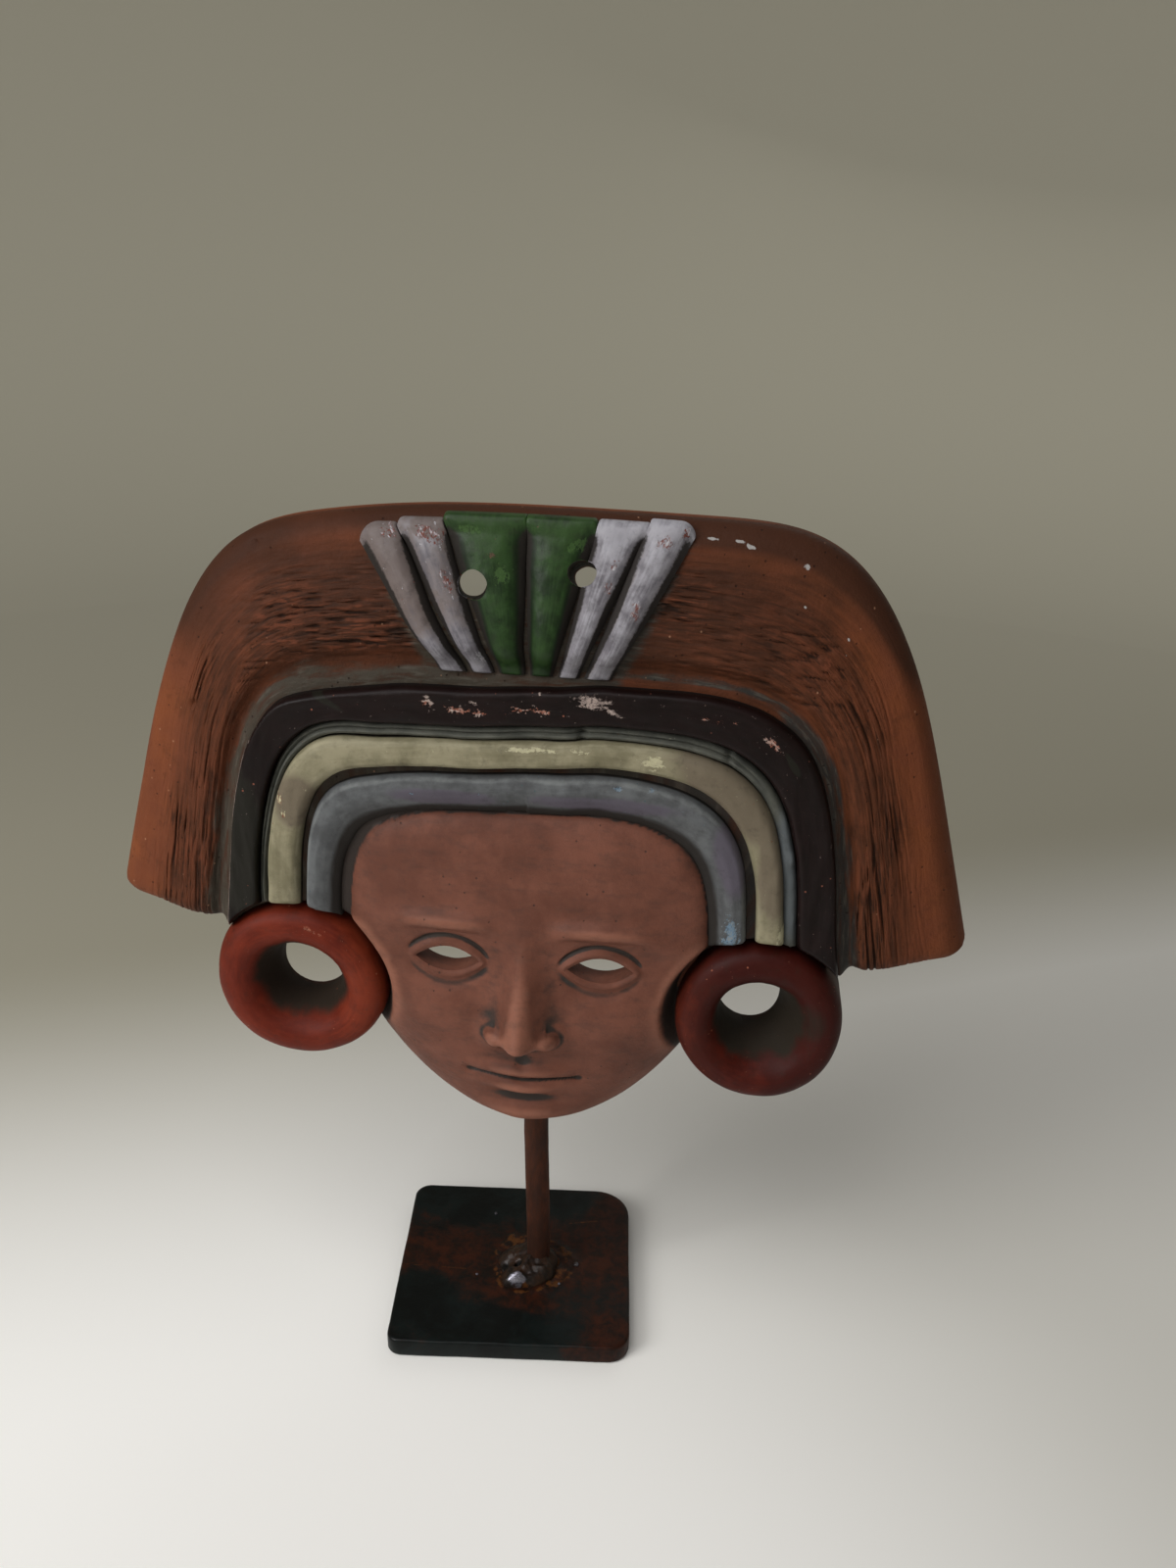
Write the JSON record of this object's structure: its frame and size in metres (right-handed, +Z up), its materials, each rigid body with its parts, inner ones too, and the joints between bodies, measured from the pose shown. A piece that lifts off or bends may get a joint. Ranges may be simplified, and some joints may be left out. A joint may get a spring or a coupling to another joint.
{
  "type": "ceramic mask",
  "caption": "Painted clay face mask with feathered headdress, banded brow and ear flares, hung on a bent iron rod that is welded to a small steel plate",
  "frame": {"origin": "on the plate's underside, under the axis of the upright rod", "axes": "+Z up along the rod, the mask looks along -Y, +X to the viewer's right"},
  "size_m": [0.1632, 0.0518, 0.178],
  "materials": {
    "stained_clay": "unglazed low-fired terracotta, combed and stained brown, rubbed back to orange at the edges",
    "face_clay": "smooth unglazed terracotta with a grey wash left in the hollows",
    "plum_paint": "terracotta under a semi-gloss near-black plum paint with a few chips",
    "cream_paint": "terracotta under a rubbed olive cream paint",
    "blue_grey_paint": "terracotta under a thin blue grey paint",
    "ridge_wash": "terracotta under a dark grey green wash",
    "white_paint": "terracotta under a worn chalky white paint",
    "green_paint": "terracotta under a brushed deep green paint",
    "red_paint": "terracotta under a brick red paint, rubbed on the rims",
    "blackened_steel": "mill-scale black steel plate, lacquered, with rust patches",
    "rusty_steel": "brown rusted steel rod",
    "weld_steel": "lumpy lacquered weld metal"
  },
  "bodies": {
    "stand": {"base_plate": "blackened_steel", "upright_rod": "rusty_steel", "weld_bead": "weld_steel"},
    "mask": {"headdress_shell": "stained_clay", "face_shell": "face_clay", "dark_band": "plum_paint", "ridge_strip": "ridge_wash", "cream_band": "cream_paint", "blue_band": "blue_grey_paint", "ear_flare_left": "red_paint", "ear_flare_right": "red_paint", "white_feather_outer_left": "white_paint", "white_feather_inner_left": "white_paint", "green_feather_left": "green_paint", "green_feather_right": "green_paint", "white_feather_inner_right": "white_paint", "white_feather_outer_right": "white_paint"}
  },
  "joints": [
    {"name": "mask_lift", "type": "slide", "parent": "stand", "child": "mask", "axis": [0, -0.866, 0.5], "range_m": [0, 0.06]}
  ]
}
